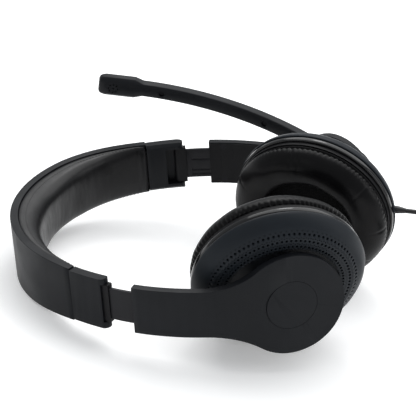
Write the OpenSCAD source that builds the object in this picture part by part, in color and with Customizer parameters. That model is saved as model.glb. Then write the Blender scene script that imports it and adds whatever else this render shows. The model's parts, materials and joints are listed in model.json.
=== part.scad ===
// Over-ear office headset with a boom microphone, lying on its side.
// Every piece is modelled in the headset's own frame: +X runs from the crown of the headband
// down to the ear cups, +Y is the wearer's left and +Z is the front. lay() then puts the whole
// headset on the surface it rests on. Pieces that exist on both sides are modelled on the right
// (y < 0) and mirrored for the left.

/* [Headband] */
// Radius of the crown, on the band's outer face
crown_r = 71; // [66:1:76]
// Angle from the middle of the crown to where the sides begin
crown_angle = 57; // [54:1:60]
// Radius of the band's sides
side_r = 128; // [118:2:140]
// Slope of the band at the fold hinges
hinge_slope = 16; // [14:1:18]
// Height of the band at the crown, front to back
crown_h = 31; // [29:0.5:33]
// Height of the band at the hinge housings
end_h = 26.5; // [26:0.5:28]
// Thickness of the plastic outer band
band_t = 2.6; // [2:0.2:3]
// Thickness of the band's cushion at the crown
pad_t = 11; // [9:0.5:13]

/* [Hinges and sliders] */
// Length of a hinge housing
housing_l = 20; // [18:0.5:24]
// Thickness of a hinge housing
housing_t = 6.1; // [5.8:0.1:7]
// Height of the knuckle between the housing's ears
knuckle_h = 20; // [18:0.5:20.5]
// Thickness of the slider strip
strip_t = 1.6; // [1.4:0.1:1.8]
// Height of the slider strip
strip_h = 16.4; // [14:0.2:17]
// How far the arm stands off the housing at rest
slide_rest = 14.5; // [12:0.5:16]
// How far the slider can still be pushed in
slide_in = 9.5; // [6:0.5:10]
// How far the slider can still be pulled out
slide_out = 20; // [14:1:20]

/* [Arms] */
// Radius of the arms, on their outer face
arm_r = 109; // [104:1:114]
// Slope of the round disc at the arm's end
disc_slope = 30; // [28:0.5:32]
// Height of the arm's narrow part
arm_h = 24; // [22:0.5:25]
// Thickness of the arm
arm_t = 4.4; // [4.2:0.1:4.8]
// Radius of the round disc at the arm's end
disc_r = 25.5; // [24:0.5:27]
// Radius of the concave blend between the arm and its disc
blend_r = 40.5; // [34:0.5:46]
// Radius of the round cover in the middle of the disc
cap_r = 12.3; // [11:0.1:13]

/* [Ear cups] */
// Radius of the cup's rim
cup_r = 41.8; // [40:0.2:43]
// Height of the cup's back over its rim
cup_h = 10.8; // [10:0.2:11]
// Distance from the disc's outer face to the rim, cup straight
cup_depth = 24.2; // [23.8:0.1:26]
// Depth of the cup's two pivot axes under the disc's outer face
pivot_depth = 12.5; // [12:0.1:13]
// Outer radius of the ear pad
ear_r = 40.4; // [38:0.2:41]
// Radius of the opening in the ear pad
ear_hole_r = 20.5; // [18:0.5:23]
// Thickness of the ear pad
ear_t = 14.5; // [13:0.5:17]
// Turn of the right cup in its swivel at rest
right_yaw = 6.5; // [0:0.5:12]
// Lean of the right cup at rest
right_tilt = -18; // [-19:0.5:10]
// Turn of the left cup in its swivel at rest
left_yaw = 20.5; // [0:0.2:26]
// Lean of the left cup at rest
left_tilt = 11.4; // [-10:0.2:18]

/* [Boom] */
// Angle of the boom in front of the arm at rest
boom_angle = 15; // [5:1:40]
// Length of the boom's straight root
boom_root = 20; // [16:1:26]
// Radius of the boom's bend
boom_r = 150; // [130:5:180]
// Angle that the bend turns through
boom_bend = 43; // [35:1:48]
// Width of the boom
boom_w = 7.6; // [6.5:0.1:8.5]
// Thickness of the boom
boom_t = 5.4; // [4.8:0.1:6]
// Height of the boom's centre line over the disc
boom_z = 11.5; // [8:0.5:12]
// Length of the microphone head
mic_l = 20; // [16:1:24]

/* [Cord] */
// Diameter of the cord
cord_d = 2.4; // [2:0.1:2.6]
// Diameter of the coil at the middle of its turns
coil_d = 29; // [26:1:32]
// Width of the coil's bundle of turns
bundle_w = 12.4; // [12:0.1:14]
// Height of the coil's bundle of turns
bundle_h = 10; // [9.8:0.1:12]

/* [Hidden] */
$fn = 96;

// how the headset lies: the surface touches the crown's lower edge and both cups
lay_roll = 5.01;
lay_pitch = -9.473;
lay_at = [-90.901, -11.543, 16.726];

// centres of the three arcs of the outer line, and the points where they meet, on the right
function on_arc(c, r, slope) = c + r * [-sin(slope), -cos(slope)];
crown_c = [crown_r, 0];
shoulder = on_arc(crown_c, crown_r, 90 - crown_angle);
side_c = shoulder - side_r * [-sin(90 - crown_angle), -cos(90 - crown_angle)];
arm_start = on_arc(side_c, side_r, hinge_slope);
arm_c = arm_start - arm_r * [-sin(hinge_slope), -cos(hinge_slope)];
disc_flat = 2;
disc_at = on_arc(arm_c, arm_r, -disc_slope) + disc_flat * [cos(disc_slope), sin(disc_slope)];
function turn_of(length, r) = length / r * 180 / PI;

// fits
snug = 0.01;
running = 0.05;
slide_gap = 0.1;

// hinge
pin_r = 1;
pin_inset = housing_t / 2;
pin_slope = hinge_slope + turn_of(pin_inset, side_r);
pin_at = on_arc(side_c, side_r - pin_inset, pin_slope);
pin_h = end_h - 2.2;
plate_t = 1.1;
pocket_l = 9.5;
plate_setback = 2;
knuckle_t = 3.7;
knuckle_reach = 4.5;
spring_t = 0.8;
spring_h = 14;
spring_in = 2.8;

// slider
strip_in = 2;
strip_end = 53;
stop_r = 1.2;
stop_at = 28.5;
stop_z = -0.6;
groove_z = [2.6, -3.6, -6];
channel_l = 49;

// arm
cover_t = 1.9;
channel_t = strip_t + 2 * slide_gap;
inner_t = arm_t - cover_t - channel_t;
blend_at = sqrt(pow(disc_r + blend_r, 2) - pow(arm_h / 2 + blend_r, 2));
cavity_r = 17;
recess_r = 15;
bowl_r = 27;
bowl_floor = 7.2;

// swivel
trunnion_r = 1.5;
cross_half = 5.5;
boss_in = 6;
boss_out = 10.5;
boss_half = 2.9;
cup_top = cup_depth - pivot_depth;
well_floor = 3.9;

// cup
shell_t = 1.8;
trim_h = 3.2;
baffle_t = 2;
driver_r = 20;
screw_ring_r = 34;

// ---- placing helpers

module lay() {
    translate(lay_at) rotate([lay_roll, lay_pitch, 0]) children();
}

module on_side(side) {
    if (side == "right") children();
    else mirror([0, 1, 0]) children();
}

// a curved wall: off and t are measured inwards from the outer line of radius r
module arc_wall(c, r, off, t, slope_a, slope_b, h) {
    translate([c[0], c[1], 0]) rotate([0, 0, 270 - slope_a])
        rotate_extrude(angle = slope_a - slope_b) translate([r - off - t, -h / 2]) square([t, h]);
}

// origin at the disc's centre on its outer face, +X away from the band, +Z outwards, right side
module disc_frame() {
    translate([disc_at[0], disc_at[1], 0]) rotate([0, 0, disc_slope]) rotate([90, 0, 0]) children();
}

// origin at the middle of the cup's rim, +Z outwards, with the cup turned about its two axes
module cup_frame(yaw, tilt) {
    disc_frame() translate([0, 0, -pivot_depth]) rotate([0, -yaw, 0]) rotate([-tilt, 0, 0])
        translate([0, 0, -cup_top]) children();
}

module right_cup() { lay() cup_frame(right_yaw, right_tilt) children(); }
module left_cup() { lay() mirror([0, 1, 0]) cup_frame(left_yaw, left_tilt) children(); }

// origin on the hinge pin, +X towards the arm, +Y outwards
module pin_frame() {
    translate([pin_at[0], pin_at[1], 0]) rotate([0, 0, -hinge_slope]) mirror([0, 1, 0]) children();
}

module rod(r, length) { cylinder(r = r, h = length, center = true); }

// ---- headband

module band_layer(off, t, h, end_slope) {
    arc_wall(crown_c, crown_r, off, t, 90 + crown_angle, 90 - crown_angle, h);
    for (side = ["right", "left"]) on_side(side)
        arc_wall(side_c, side_r, off, t, 90 - crown_angle, end_slope, h);
}

// the band grows lower towards its ends
module band_outline(less) {
    crown_half = crown_h / 2 - less;
    end_half = end_h / 2 - less;
    rotate([90, 0, 0]) linear_extrude(height = 200, center = true)
        polygon([[-5, -crown_half], [12, -crown_half], [arm_start[0], -end_half],
            [arm_start[0], end_half], [12, crown_half], [-5, crown_half]]);
}

housing_slope = hinge_slope + turn_of(housing_l, side_r);
lip_t = 1.7;
lip_h = 1.4;

module headband_shell() {
    color("#26262b") lay() intersection() {
        difference() {
            band_layer(0, band_t + lip_h, crown_h + 2, housing_slope + 0.05);
            intersection() {
                band_layer(band_t, lip_h + 2, crown_h, hinge_slope);
                band_outline(lip_t);
            }
        }
        band_outline(0);
    }
}

module headband_spring() {
    color("#9a9da1") lay() difference() {
        band_layer(spring_in, spring_t, spring_h, hinge_slope + turn_of(11, side_r));
        for (side = ["right", "left"]) on_side(side) rivet_at() rod(rivet_r + snug, housing_t);
    }
}

module headband_pad_plate() {
    color("#1c1c1f") lay() intersection() {
        band_layer(4.2, 1.2, crown_h - 4, housing_slope + 0.4);
        band_outline(2);
    }
}

pad_in = 5.5;
pad_end_x = arm_start[0] - housing_l - 1;
pad_end_y = 59.6;
pad_inner_r = (pow(pad_end_x - pad_in - pad_t, 2) + pow(pad_end_y, 2)) / (2 * (pad_end_x - pad_in - pad_t));

module headband_pad() {
    color("#2b2a2d") lay() intersection() {
        difference() {
            band_layer(pad_in, pad_t + 3, crown_h - 3, hinge_slope);
            translate([pad_in + pad_t + pad_inner_r, 0, 0]) rod(pad_inner_r, crown_h + 2);
        }
        translate([pad_end_x / 2, 0, 0]) cube([pad_end_x, 200, 60], center = true);
        band_outline(0.8);
    }
}

module band_wire() {
    color("#8c2f2b") lay() translate([0, 0, -10.5]) band_layer(2.9, 1, 1, housing_slope + 0.4);
}

rivet_r = 1.2;
rivet_slope = hinge_slope + turn_of(14, side_r);

module rivet_at() {
    translate([side_c[0], side_c[1], 0]) rotate([0, 0, 270 - rivet_slope])
        for (z = [-4, 4]) translate([side_r - housing_t / 2, 0, z]) rotate([0, 90, 0]) children();
}

module spring_rivets() {
    color("#b4b6b8") lay() for (side = ["right", "left"]) on_side(side) rivet_at() rod(rivet_r, housing_t - 2.4);
}

// ---- hinge, knuckle and slider strip

module housing_solid(side_name) {
    edge = 1.6;
    difference() {
        union() {
            arc_wall(side_c, side_r, 0, housing_t, housing_slope, pin_slope, end_h);
            translate([pin_at[0], pin_at[1], 0]) rod(pin_inset, end_h);
        }
        // bevel along the inner long edges
        for (m = [-1, 1]) translate([side_c[0], side_c[1], 0]) rotate([0, 0, 270 - housing_slope - 1])
            rotate_extrude(angle = housing_slope + 1) polygon([
                [side_r - housing_t - 1, m * (end_h / 2 - edge - 1)],
                [side_r - housing_t + edge + 1, m * (end_h / 2 + 1)],
                [side_r - housing_t - 1, m * (end_h / 2 + 1)]]);
        // pocket for the knuckle, open towards the head
        arc_wall(side_c, side_r, plate_t, housing_t, hinge_slope + turn_of(pocket_l, side_r),
            hinge_slope - 3, knuckle_h + 0.2);
        // the outer plate is set back between the ears
        arc_wall(side_c, side_r, -1, housing_t + 3, hinge_slope + turn_of(plate_setback, side_r),
            hinge_slope - 3, knuckle_h + 0.2);
        translate([pin_at[0], pin_at[1], 0]) rod(pin_r + snug, pin_h + 0.1);
        // slots for the spring and the wire
        arc_wall(side_c, side_r, spring_in - snug, spring_t + 2 * snug, housing_slope + 1,
            hinge_slope + turn_of(10.9, side_r), spring_h + 2 * snug);
        rivet_at() rod(rivet_r + snug, housing_t - 2.4 + 2 * snug);
    }
}

module hinge_housing_right() { color("#2d2c31") lay() housing_solid(); }
module hinge_housing_left() { color("#2d2c31") lay() on_side("left") housing_solid(); }

module pin_solid() { translate([pin_at[0], pin_at[1], 0]) rod(pin_r, pin_h); }
module hinge_pin_right() { color("#b4b6b8") lay() pin_solid(); }
module hinge_pin_left() { color("#b4b6b8") lay() on_side("left") pin_solid(); }

module knuckle_solid() {
    difference() {
        pin_frame() union() {
            rod(knuckle_t / 2, knuckle_h);
            translate([0, -knuckle_t / 2, -knuckle_h / 2]) cube([knuckle_reach, knuckle_t, knuckle_h]);
        }
        pin_frame() rod(pin_r + running, knuckle_h + 1);
        strip_arc(snug);
    }
}

module knuckle_right() { color("#202024") lay() knuckle_solid(); }
module knuckle_left() { color("#202024") lay() on_side("left") knuckle_solid(); }

strip_start_slope = hinge_slope + turn_of(0.6, arm_r);
function strip_slope(length) = hinge_slope - turn_of(length, arm_r);

module strip_arc(gap) {
    arc_wall(arm_c, arm_r, strip_in - gap, strip_t + 2 * gap, strip_start_slope + gap,
        strip_slope(strip_end), strip_h + 2 * gap);
}

// a round-ended slot along the strip, centred on height z
module strip_slot(from, to, z, r) {
    translate([0, 0, z]) arc_wall(arm_c, arm_r, 0, arm_t, strip_slope(from), strip_slope(to), 2 * r);
    for (length = [from, to]) along_arm(length) translate([0, z, -arm_t / 2]) rod(r, arm_t);
}

// origin on the arm's outer line at a length from the hinge, +Z outwards, +Y up
module along_arm(length) {
    p = on_arc(arm_c, arm_r, strip_slope(length));
    translate([p[0], p[1], 0]) rotate([0, 0, -strip_slope(length)]) rotate([90, 0, 0]) children();
}

module strip_solid() {
    groove = 0.4;
    difference() {
        strip_arc(0);
        strip_slot(stop_at - slide_in, stop_at + slide_out, stop_z, stop_r + 0.1);
        for (z = groove_z) translate([0, 0, z])
            arc_wall(arm_c, arm_r, strip_in + strip_t - groove, 1, strip_slope(4.5),
                strip_slope(strip_end + 1), 1.1);
    }
}

module slider_strip_right() { color("#33343a") lay() strip_solid(); }
module slider_strip_left() { color("#33343a") lay() on_side("left") strip_solid(); }

// ---- arm: outer cover, inner cover, screws, stop

// one side of the blend between the narrow part and the disc, from the disc back
function blend_points(m, less) = let (turn = atan2(blend_at, arm_h / 2 + blend_r))
    [for (i = [0:12]) let (a = turn * (1 - i / 12))
        [-blend_at + (blend_r + less) * sin(a), m * (arm_h / 2 + blend_r - (blend_r + less) * cos(a))]];

module arm_outline(less) {
    tangent = (disc_r - less - 0.3) / (disc_r + blend_r) * [-blend_at, arm_h / 2 + blend_r];
    circle(disc_r - less);
    polygon(concat([[0, 0], tangent], blend_points(1, less), [[-80, arm_h / 2 - less],
        [-80, less - arm_h / 2]], [for (i = [12:-1:0]) blend_points(-1, less)[i]],
        [[tangent[0], -tangent[1]]]));
}

// the arm's curved and flat layers between two depths under the outer face
module arm_layer(off, t, less, end_less) {
    intersection() {
        union() {
            arc_wall(arm_c, arm_r, off, t, strip_slope(slide_rest + end_less), -disc_slope, 51.7);
            disc_frame() translate([-disc_flat, -30, -off - t]) cube([40, 60, t]);
        }
        disc_frame() linear_extrude(height = 160, center = true) arm_outline(less);
    }
}

module channel(gap) {
    arc_wall(arm_c, arm_r, cover_t, channel_t + 1, strip_slope(slide_rest - 1),
        strip_slope(slide_rest + channel_l), strip_h + 2 * gap);
}

screw_head_t = 0.4;

module arm_screw_places() {
    along_arm(slide_rest + 8) for (y = [-10, 10]) translate([0, y, 0]) children();
    disc_frame() for (a = [-60, 60]) rotate([0, 0, a]) translate([21, 0, 0]) children();
}

module arm_cover_solid(has_cap) {
    difference() {
        arm_layer(0, cover_t + channel_t, 0, 0);
        channel(slide_gap);
        disc_frame() translate([0, 0, -cover_t - channel_t - 1]) cylinder(r = cavity_r, h = channel_t + 1);
        along_arm(stop_at) translate([0, stop_z, -1 - 5]) cylinder(r = stop_r + snug, h = 5);
        arm_screw_places() translate([0, 0, -6]) cylinder(r = 0.8 + snug, h = 5.2);
        if (has_cap) disc_frame() translate([0, 0, -1.2]) cylinder(r = cap_r + snug, h = 3);
        else disc_frame() translate([0, 0, -5]) cylinder(r = 4 + running, h = 10);
    }
}

module arm_cover_right() { color("#2a2b2f") lay() arm_cover_solid(true); }
module arm_cover_left() { color("#2a2b2f") lay() on_side("left") arm_cover_solid(false); }

// the inner cover carries the two bosses that hold the cross's upright trunnions
module arm_inner_solid() {
    difference() {
        union() {
            arm_layer(cover_t + channel_t + snug, inner_t - snug, 0.5, 0.3);
            disc_frame() for (m = [-1, 1])
                translate([-boss_half, m > 0 ? boss_in : -boss_out, -pivot_depth - boss_half])
                    cube([2 * boss_half, boss_out - boss_in, pivot_depth + boss_half - arm_t + 0.4]);
        }
        disc_frame() translate([0, 0, -pivot_depth]) rotate([90, 0, 0])
            rod(trunnion_r + running, 2 * boss_out - 1.4);
        along_arm(stop_at) translate([0, stop_z, -6]) cylinder(r = stop_r + snug, h = 5);
        arm_screw_places() translate([0, 0, -6]) cylinder(r = 0.8 + snug, h = 5);
        arm_screw_places() translate([0, 0, -6]) cylinder(r = 1.6 + snug, h = 6 - arm_t + screw_head_t);
    }
}

module arm_inner_right() { color("#1f2023") lay() arm_inner_solid(); }
module arm_inner_left() { color("#1f2023") lay() on_side("left") arm_inner_solid(); }

module arm_screws_solid() {
    arm_screw_places() translate([0, 0, -arm_t]) {
        cylinder(r = 0.8, h = 3.4);
        cylinder(r = 1.6, h = screw_head_t - snug);
    }
}

module arm_screws_right() { color("#3a3b3e") lay() arm_screws_solid(); }
module arm_screws_left() { color("#3a3b3e") lay() on_side("left") arm_screws_solid(); }

module slider_stop_solid() {
    along_arm(stop_at) translate([0, stop_z, -arm_t]) cylinder(r = stop_r, h = arm_t - 1);
}

module slider_stop_right() { color("#b4b6b8") lay() slider_stop_solid(); }
module slider_stop_left() { color("#b4b6b8") lay() on_side("left") slider_stop_solid(); }

module pivot_cap_right() {
    color("#2c2d31") lay() disc_frame() translate([0, 0, -1.2]) cylinder(r = cap_r - 0.15, h = 1.2);
}

// a cross of two crossed axles: upright in the arm, level in the cup
module cross_solid(yaw) {
    disc_frame() translate([0, 0, -pivot_depth]) rotate([0, -yaw, 0]) {
        rotate([90, 0, 0]) rod(cross_half, 3.4);
        rotate([90, 0, 0]) rod(trunnion_r, 2 * boss_out - 1.6);
        rotate([0, 90, 0]) rod(trunnion_r, 2 * boss_out - 1.6);
    }
}

module swivel_cross_right() { color("#8d9094") lay() cross_solid(right_yaw); }
module swivel_cross_left() { color("#8d9094") lay() on_side("left") cross_solid(left_yaw); }

// ---- ear cup

module cup_shell_solid(has_gland) {
    inner = shell_t;
    difference() {
        union() {
            rotate_extrude() polygon([
                [0, well_floor - inner], [recess_r + inner, well_floor - inner],
                [recess_r + inner, bowl_floor - inner], [bowl_r + inner, bowl_floor - inner],
                [bowl_r + inner, cup_h - 2.2], [33.4, cup_h - 2.9],
                [37.4, cup_h - 5.4], [39.2, 3.2], [cup_r - inner, 0.6], [cup_r - inner, 0],
                [cup_r, 0], [cup_r, 1.2], [cup_r - 1, 3.9], [38.6, 6.9],
                [34.2, cup_h - 1.2], [28.4, cup_h - 0.3], [bowl_r + 0.3, cup_h - 0.3], [bowl_r, bowl_floor],
                [recess_r, bowl_floor], [recess_r, well_floor],
                [0, well_floor]]);
            // posts for the cross's level trunnions
            for (m = [-1, 1])
                translate([m > 0 ? boss_in : -boss_out, -boss_half, well_floor - 0.5])
                    cube([boss_out - boss_in, 2 * boss_half, cup_top + boss_half - well_floor + 0.5]);
            for (a = [45:90:315]) rotate([0, 0, a]) translate([screw_ring_r, 0, -trim_h])
                cylinder(r = 2.4, h = trim_h + 8);
            // two short posts that the circuit board is fixed to
            if (has_gland) for (y = [-7, 7]) translate([22, y, board_z + board_t]) cylinder(r = 1.3, h = 2.6);
        }
        translate([0, 0, cup_top]) rotate([0, 90, 0]) rod(trunnion_r + running, 2 * boss_out - 1.4);
        for (a = [45:90:315]) rotate([0, 0, a]) translate([screw_ring_r, 0, -trim_h - 1])
            cylinder(r = 1 + snug, h = 8);
        if (has_gland) translate([cup_r - 6, 0, gland_z]) rotate([0, 90, 0]) cylinder(r = gland_r + snug, h = 12);
    }
}

gland_z = 2.6;
gland_r = 1.9;
board_z = 2.4;
board_t = 1.2;

module cup_shell_right() { color("#2b3038") right_cup() cup_shell_solid(false); }
module cup_shell_left() { color("#2b3038") left_cup() cup_shell_solid(true); }

module ring(r_in, r_out, low, high) {
    translate([0, 0, low]) difference() {
        cylinder(r = r_out, h = high - low);
        translate([0, 0, -1]) cylinder(r = r_in, h = high - low + 2);
    }
}

module trim_ring_solid() { ring(cup_r - 2.6, cup_r - 0.5, -trim_h, -snug); }
module trim_ring_right() { color("#0c0c0e") right_cup() trim_ring_solid(); }
module trim_ring_left() { color("#0c0c0e") left_cup() trim_ring_solid(); }

baffle_low = -trim_h - baffle_t;

module baffle_solid() {
    difference() {
        ring(driver_r + 0.1, cup_r - 1.6, baffle_low, -trim_h - snug);
        for (a = [45:90:315]) rotate([0, 0, a]) translate([screw_ring_r, 0, baffle_low - 1])
            cylinder(r = 1 + snug, h = baffle_t + 3);
    }
}
module baffle_right() { color("#1d1e21") right_cup() baffle_solid(); }
module baffle_left() { color("#1d1e21") left_cup() baffle_solid(); }

// a 40 mm speaker: frame, magnet and diaphragm
module driver_frame_solid() {
    ring(17, driver_r, baffle_low, baffle_low + 1.4);
    ring(15.6, 17, baffle_low + 0.6, 0.6);
    difference() {
        ring(8.4, 17, -0.4, 0.6);
        for (a = [0:60:300]) rotate([0, 0, a]) translate([12.6, 0, -1]) cylinder(r = 2, h = 2);
    }
}
module driver_frame_right() { color("#3b3c40") right_cup() driver_frame_solid(); }
module driver_frame_left() { color("#3b3c40") left_cup() driver_frame_solid(); }

module driver_magnet_solid() { translate([0, 0, -3.6]) cylinder(r = 8.3, h = 5); }
module driver_magnet_right() { color("#7c7f84") right_cup() driver_magnet_solid(); }
module driver_magnet_left() { color("#7c7f84") left_cup() driver_magnet_solid(); }

module diaphragm_solid() { translate([0, 0, baffle_low + 0.7]) cylinder(r = 15.4, h = 0.2); }
module diaphragm_right() { color("#d8d6cf") right_cup() diaphragm_solid(); }
module diaphragm_left() { color("#d8d6cf") left_cup() diaphragm_solid(); }

module scrim_solid() { translate([0, 0, baffle_low - 0.62]) cylinder(r = ear_hole_r + 3, h = 0.6); }
module scrim_right() { color("#101012") right_cup() scrim_solid(); }
module scrim_left() { color("#101012") left_cup() scrim_solid(); }

// the pad: a flat back, a crowned face and an opening for the ear
module ear_pad_solid() {
    back = baffle_low - snug;
    face = back - ear_t;
    rotate_extrude() polygon(concat(
        [[ear_hole_r + 3.2, back], [ear_hole_r + 3.2, back - 0.7], [ear_hole_r, back - 0.7]],
        [for (a = [180:22.5:270]) [ear_hole_r + 8 + 8 * cos(a), face + 8 + 8 * sin(a)]],
        [for (a = [270:18:360]) [ear_r - 10 + 10 * cos(a), face + 10 + 10 * sin(a)]],
        [[ear_r, back - 2], [ear_r - 1, back]]));
}
module ear_pad_right() { color("#232225") right_cup() ear_pad_solid(); }
module ear_pad_left() { color("#232225") left_cup() ear_pad_solid(); }

module cup_screws_solid() {
    for (a = [45:90:315]) rotate([0, 0, a]) translate([screw_ring_r, 0, baffle_low + 0.02])
        cylinder(r = 1, h = baffle_t + 5);
}
module cup_screws_right() { color("#9a9da1") right_cup() cup_screws_solid(); }
module cup_screws_left() { color("#9a9da1") left_cup() cup_screws_solid(); }

module circuit_board() {
    color("#1d5a34") left_cup() translate([20.5, -9, board_z]) {
        cube([10, 18, board_t - snug]);
        translate([4, 4, 0.6]) cube([5, 5, 2]);
        translate([4, 11, 0.6]) cube([3, 4, 2.2]);
    }
}

// ---- boom, on the outside of the left disc

hub_base = 0.3;
hub_top = boom_z + boom_t / 2;
split = 0.02;

// +X along the boom, +Z outwards, from the disc's centre
module boom_frame() { lay() mirror([0, 1, 0]) disc_frame() rotate([0, 0, 180 - boom_angle]) children(); }

module boom_pivot() {
    color("#8d9094") boom_frame() {
        translate([0, 0, -arm_t + 1]) cylinder(r = 4, h = arm_t - 1 + hub_base + 2.2);
        translate([0, 0, -cover_t - 1.2]) cylinder(r = 7, h = 1.2 - 0.06);
    }
}

// the bar between two depths; off is measured from the outer face
module boom_bar(off, t, w) {
    rotate([90, 0, 0]) linear_extrude(height = w, center = true) {
        translate([0, hub_top - off - t]) square([boom_root, t]);
        translate([boom_root, boom_z - boom_r]) intersection() {
            difference() {
                circle(boom_r + boom_t / 2 - off);
                circle(boom_r + boom_t / 2 - off - t);
            }
            polygon([[0, 0], [0, 200], [200 * tan(boom_bend), 200]]);
        }
    }
}

// at the far end of the bar, +X onwards along it and +Z outwards
module boom_tip() {
    translate([boom_root, 0, boom_z - boom_r]) rotate([0, boom_bend, 0]) translate([0, 0, boom_r]) children();
}

module mic_half(low, high) {
    boom_tip() translate([0, 0, low]) linear_extrude(height = high - low)
        polygon([[-1, -2.5], [2, -5.2], [mic_l - 2, -5.2], [mic_l, -3.2], [mic_l, 3.2],
            [mic_l - 2, 5.2], [2, 5.2], [-1, 2.5]]);
}

boom_half_t = boom_t / 2 - split;
mic_half_t = 3.6;
boom_screw_at = [58, 118];

module boom_screw_places() {
    for (at = boom_screw_at) translate([boom_root, 0, boom_z - boom_r])
        rotate([0, turn_of(at - boom_root, boom_r), 0]) translate([0, 0, boom_r]) children();
}

module boom_outer() {
    color("#2a2a2e") boom_frame() difference() {
        union() {
            translate([0, 0, boom_z + split]) cylinder(r = cap_r, h = boom_half_t + 0.4);
            boom_bar(0, boom_half_t, boom_w);
            mic_half(split, mic_half_t);
        }
        boom_screw_places() translate([0, 0, -1]) cylinder(r = 0.8 + snug, h = 2.8);
        mic_pocket();
    }
}

module mic_pocket() { boom_tip() translate([12, 0, 0]) rod(3.1, 3.2); }

module boom_inner() {
    color("#232327") boom_frame() difference() {
        union() {
            translate([0, 0, hub_base]) cylinder(r = cap_r, h = boom_z - split - hub_base);
            boom_bar(boom_half_t + 2 * split, boom_half_t, boom_w);
            mic_half(-mic_half_t, -split);
        }
        translate([0, 0, hub_base - 1]) cylinder(r = 4 + running, h = 3.4);
        boom_screw_places() translate([0, 0, -6]) cylinder(r = 0.8 + snug, h = 7);
        boom_screw_places() translate([0, 0, -boom_t / 2 - 5]) cylinder(r = 1.6 + snug, h = 6);
        mic_pocket();
    }
}

module boom_screws() {
    color("#55565a") boom_frame() boom_screw_places() {
        translate([0, 0, -1.9]) cylinder(r = 0.8, h = 3.6);
        translate([0, 0, -1.72 - 0.5]) cylinder(r = 1.6, h = 0.5);
    }
}

module mic_capsule() {
    color("#85878b") boom_frame() boom_tip() translate([12, 0, 0]) rod(3, 3);
}

// ---- cord

module strain_relief() {
    color("#17171a") left_cup() translate([0, 0, gland_z]) rotate([0, 90, 0]) {
        translate([0, 0, cup_r - 5.5]) cylinder(r = gland_r, h = 6.5);
        translate([0, 0, cup_r + 1]) cylinder(r1 = gland_r, r2 = cord_d / 2 + 0.1, h = 4);
    }
}

// route of the cord from the strain relief down to the coil, as the headset lies
cord_route = [[97.83, 24.93, 49.65], [103.43, 24.23, 50.45], [109.03, 23.63, 50.65],
    [114.43, 23.33, 49.75], [119.53, 23.33, 47.7], [123.93, 23.53, 44.2],
    [127.63, 24.03, 39.7], [130.63, 24.83, 34.6], [133.13, 25.83, 29.4], [135.43, 27.03, 24.2],
    [137.83, 28.33, 19.2], [140.63, 29.63, 14.5], [144.13, 31.03, 10.4], [148.33, 32.33, 7],
    [152.93, 33.33, 4.4], [157.53, 33.83, 2.9]];
// and from the coil to the plug
tail_route = [[187.33, 3.83, 8], [187.33, -1.47, 7], [187.33, -7.47, 5.3],
    [187.33, -13.47, 4.1], [187.33, -19.47, 3.6]];
coil_at = [168.03, 14.73, 0.6];
plug_at = [187.33, -19.57, 3.6];
tie_t = 0.6;

function unit(v) = v / norm(v);
function heading(path, i) =
    unit(path[min(i + 1, len(path) - 1)] - path[max(i - 1, 0)]);

// a tube of diameter d along a path that never runs along the vector side
module tube(path, d, side, sides = 8) {
    rings = len(path);
    points = [for (i = [0:rings - 1]) let (t = heading(path, i), u = unit(cross(side, t)), v = cross(t, u))
        for (k = [0:sides - 1]) path[i] + d / 2 * (cos(k * 360 / sides) * u + sin(k * 360 / sides) * v)];
    walls = [for (i = [0:rings - 2]) for (k = [0:sides - 1]) let (n = (k + 1) % sides)
        [i * sides + k, (i + 1) * sides + k, (i + 1) * sides + n, i * sides + n]];
    ends = [[for (k = [0:sides - 1]) k], [for (k = [sides - 1:-1:0]) (rings - 1) * sides + k]];
    polyhedron(points, concat(walls, ends));
}

module cord_run() { color("#1a1a1d") tube(cord_route, cord_d, [0, 1, 0]); }
module cord_tail() { color("#1a1a1d") tube(tail_route, cord_d, [1, 0, 0]); }

module cord_coil() {
    color("#1a1a1d") translate(coil_at) rotate_extrude()
        translate([(coil_d - bundle_w) / 2, 0]) square([bundle_w, bundle_h]);
}

module cord_tie() {
    inner = [bundle_w + 0.7, 5, bundle_h + 0.02];
    color("#101012") translate(coil_at) rotate([0, 0, -60]) translate([coil_d / 2 - 0.1, 0, bundle_h / 2])
        difference() {
            cube(inner + [2 * tie_t, -1, 2 * tie_t - 0.02], center = true);
            cube(inner, center = true);
        }
}

// origin where the cord enters the plug, +Z along it
module plug_frame() { translate(plug_at) rotate([90, 0, 0]) children(); }

grip_l = 22;
module plug_grip() {
    color("#1a1a1d") plug_frame() {
        cylinder(r1 = cord_d / 2 + 0.3, r2 = 2.3, h = 6);
        translate([0, 0, 6]) cylinder(r = 3.6, h = grip_l - 7);
        translate([0, 0, grip_l - 1]) cylinder(r = 3, h = 1);
    }
}

// a 3.5 mm plug with four contacts
module plug_pin() {
    color("#c9b26a") plug_frame() translate([0, 0, grip_l + snug]) rotate_extrude() polygon([
        [0, 0], [1.75, 0], [1.75, 11], [1.2, 11.6], [1.2, 11.9], [1.6, 12.5], [1.6, 12.8],
        [0.7, 14], [0, 14]]);
}

headband_shell();
headband_spring();
headband_pad_plate();
headband_pad();
band_wire();
spring_rivets();
hinge_housing_right();
hinge_pin_right();
knuckle_right();
slider_strip_right();
arm_cover_right();
arm_inner_right();
arm_screws_right();
slider_stop_right();
pivot_cap_right();
swivel_cross_right();
cup_shell_right();
trim_ring_right();
baffle_right();
driver_frame_right();
driver_magnet_right();
diaphragm_right();
scrim_right();
ear_pad_right();
cup_screws_right();
hinge_housing_left();
hinge_pin_left();
knuckle_left();
slider_strip_left();
arm_cover_left();
arm_inner_left();
arm_screws_left();
slider_stop_left();
swivel_cross_left();
cup_shell_left();
trim_ring_left();
baffle_left();
driver_frame_left();
driver_magnet_left();
diaphragm_left();
scrim_left();
ear_pad_left();
cup_screws_left();
circuit_board();
boom_pivot();
boom_outer();
boom_inner();
boom_screws();
mic_capsule();
strain_relief();
cord_run();
cord_tail();
cord_coil();
cord_tie();
plug_grip();
plug_pin();
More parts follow.
